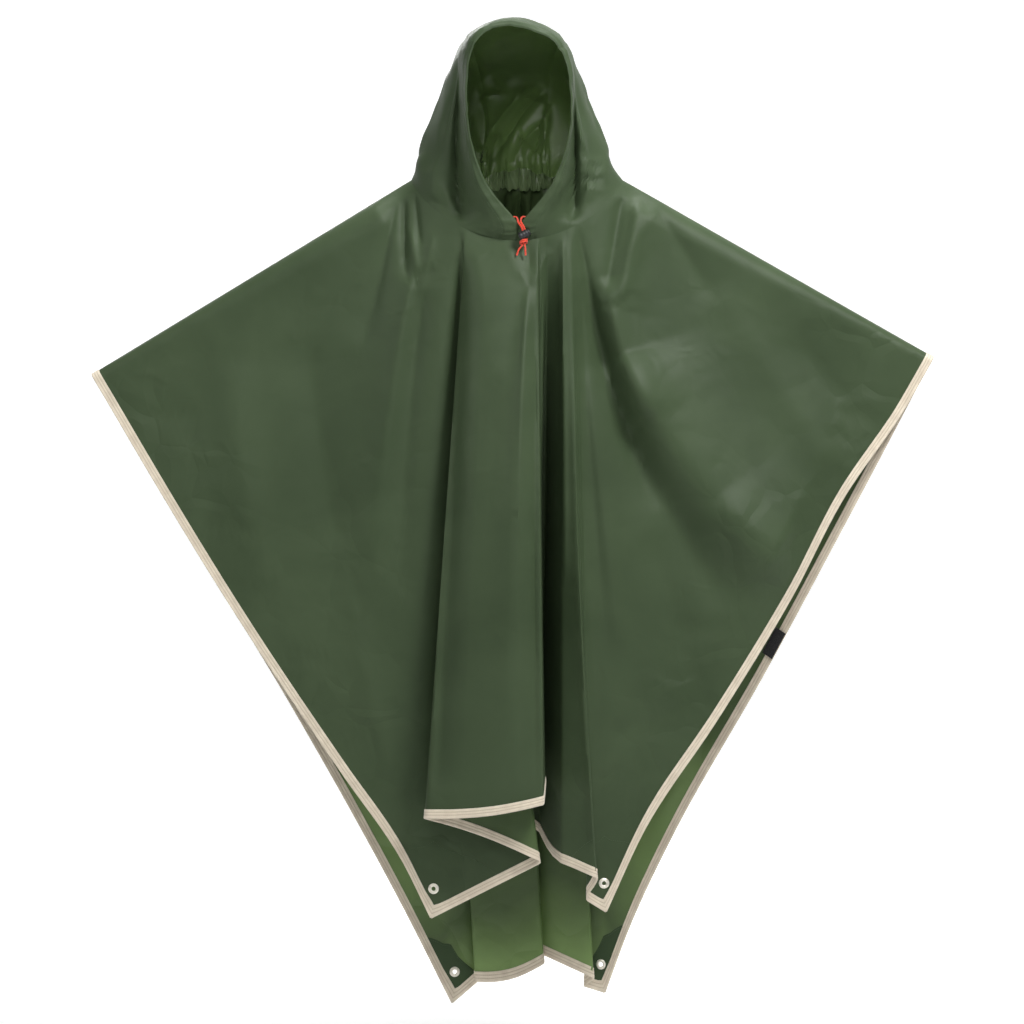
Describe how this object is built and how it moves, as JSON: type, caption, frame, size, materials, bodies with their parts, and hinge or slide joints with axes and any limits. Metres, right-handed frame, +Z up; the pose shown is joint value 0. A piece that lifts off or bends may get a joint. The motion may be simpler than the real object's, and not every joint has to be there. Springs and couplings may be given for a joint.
{
  "type": "rain poncho",
  "caption": "Hooded rain poncho of coated cloth with taped edges, corner eyelets, side closures and a hood drawcord, filled out as if worn with the arms held out.",
  "frame": {"origin": "middle of the neck hole, at shoulder height, where the wearer's neck passes", "axes": "+Z up, towards the hood; -Y is the wearer's front; +X is the right-hand side as seen from the front"},
  "size_m": [1.3605, 0.4166, 1.599],
  "materials": {
    "cloth": "satin",
    "patch_cloth": "satin",
    "tape": "matte",
    "eyelet_metal": "satin",
    "hook_and_loop": "matte",
    "cord": "matte",
    "stopper_plastic": "satin"
  },
  "bodies": {
    "root": {"front_panel": "cloth", "back_panel": "cloth", "hood_left": "cloth", "hood_crown": "cloth", "hood_right": "cloth", "hood_casing": "cloth", "hem_tape_front": "tape", "hem_tape_back": "tape", "side_tape_left": "tape", "side_tape_right": "tape", "patch_front_left": "patch_cloth", "patch_front_right": "patch_cloth", "patch_back_left": "patch_cloth", "patch_back_right": "patch_cloth", "eyelet_front_left": "eyelet_metal", "eyelet_front_right": "eyelet_metal", "eyelet_back_left": "eyelet_metal", "eyelet_back_right": "eyelet_metal", "closure_front_left": "hook_and_loop", "closure_front_right": "hook_and_loop", "closure_back_left": "hook_and_loop", "closure_back_right": "hook_and_loop", "drawcord_left": "cord", "drawcord_right": "cord", "cord_knot": "cord", "cord_stopper": "stopper_plastic"}
  },
  "joints": []
}
